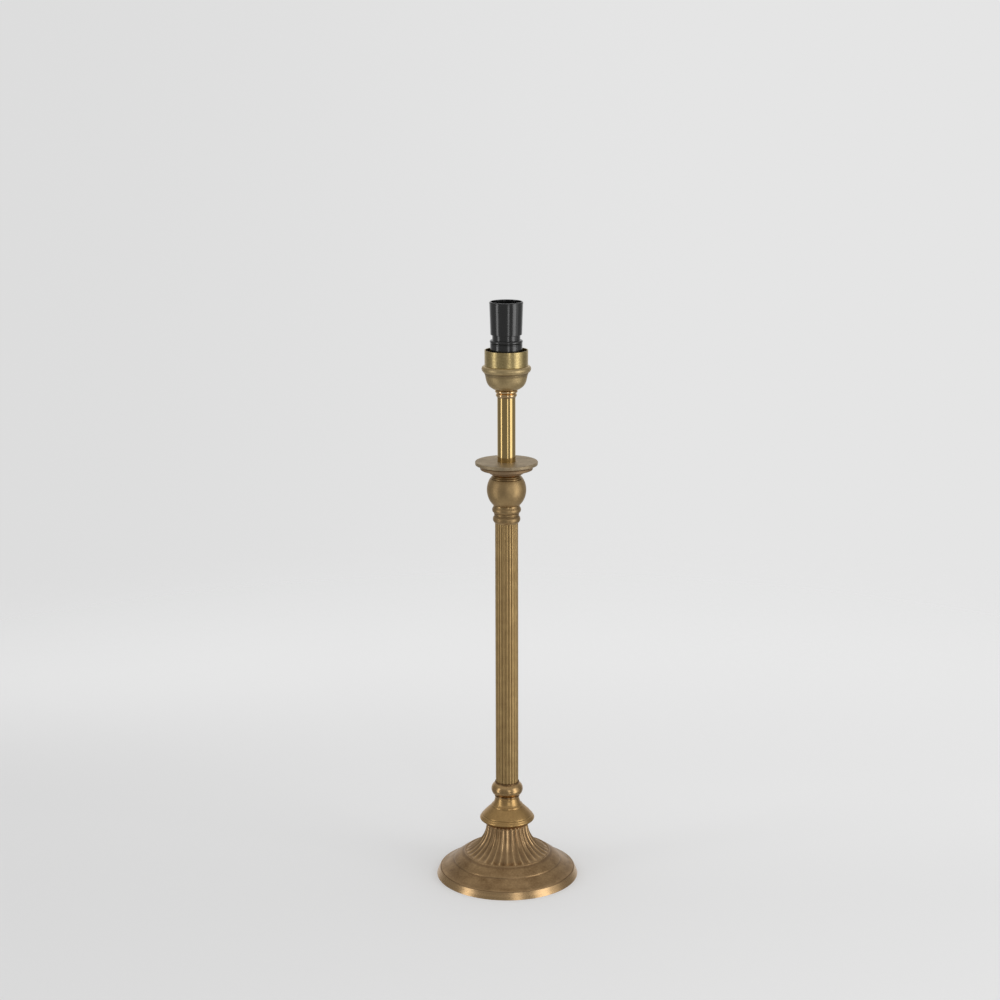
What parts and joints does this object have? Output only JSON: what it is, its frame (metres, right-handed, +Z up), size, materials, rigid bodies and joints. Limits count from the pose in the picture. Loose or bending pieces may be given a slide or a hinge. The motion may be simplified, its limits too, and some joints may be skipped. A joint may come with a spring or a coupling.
{
  "type": "column table lamp",
  "caption": "Turned brass table lamp with a fluted round foot, a reeded column, a ball and drip pan, a candle tube and a black bayonet lampholder.",
  "frame": {"origin": "centre of the foot's underside, on the surface that the lamp stands on", "axes": "+Z up the column's axis; +Y to the back, where the flex leaves the foot; +X to the right, seen from the front"},
  "size_m": [0.1466, 0.1466, 0.5998],
  "materials": {
    "antique_brass": "aged, satin, darker in the hollows",
    "reeded_brass": "aged, satin, worn bright on the reeds",
    "polished_brass": "polished",
    "dull_brass": "matt, with fine turning marks",
    "black_plastic": "moulded phenolic, semi-gloss",
    "inner_plastic": "moulded, matt",
    "contact_brass": "plain turned",
    "spring_steel": "bright drawn wire",
    "plain_steel": "bright zinc",
    "bush_plastic": "moulded, matt",
    "felt": "pressed felt"
  },
  "bodies": {
    "lamp": {"base_foot": "antique_brass", "base_pad": "felt", "cord_bush": "bush_plastic", "base_nut": "plain_steel", "base_washer": "plain_steel", "threaded_rod": "plain_steel", "base_knop": "antique_brass", "lower_collar": "antique_brass", "column_tube": "reeded_brass", "upper_collar": "antique_brass", "ball_knop": "antique_brass", "pan_neck_ring": "antique_brass", "drip_pan": "dull_brass", "candle_tube": "polished_brass", "cup_collar": "polished_brass", "holder_cup": "dull_brass", "cup_sleeve": "polished_brass", "cup_nut": "plain_steel", "lampholder_cap": "black_plastic", "lampholder_barrel": "black_plastic", "contact_block": "inner_plastic", "plunger_spring_left": "spring_steel", "plunger_spring_right": "spring_steel", "terminal_posts": "contact_brass", "terminal_screws": "plain_steel"},
    "skirt": {"shade_skirt": "black_plastic"},
    "plunger_left": {"contact_plunger_left": "contact_brass"},
    "plunger_right": {"contact_plunger_right": "contact_brass"}
  },
  "joints": [
    {"name": "skirt_slide", "type": "slide", "parent": "lamp", "child": "skirt", "axis": [0, 0, 1], "range_m": [-0.0047, 0.012]},
    {"name": "plunger_left_slide", "type": "slide", "parent": "lamp", "child": "plunger_left", "axis": [0, 0, 1], "range_m": [-0.0035, 0], "stiffness_N_per_m": 1500, "springref_m": 0.001, "deforming": ["plunger_spring_left"]},
    {"name": "plunger_right_slide", "type": "slide", "parent": "lamp", "child": "plunger_right", "axis": [0, 0, 1], "range_m": [-0.0035, 0], "stiffness_N_per_m": 1500, "springref_m": 0.001, "deforming": ["plunger_spring_right"]}
  ]
}
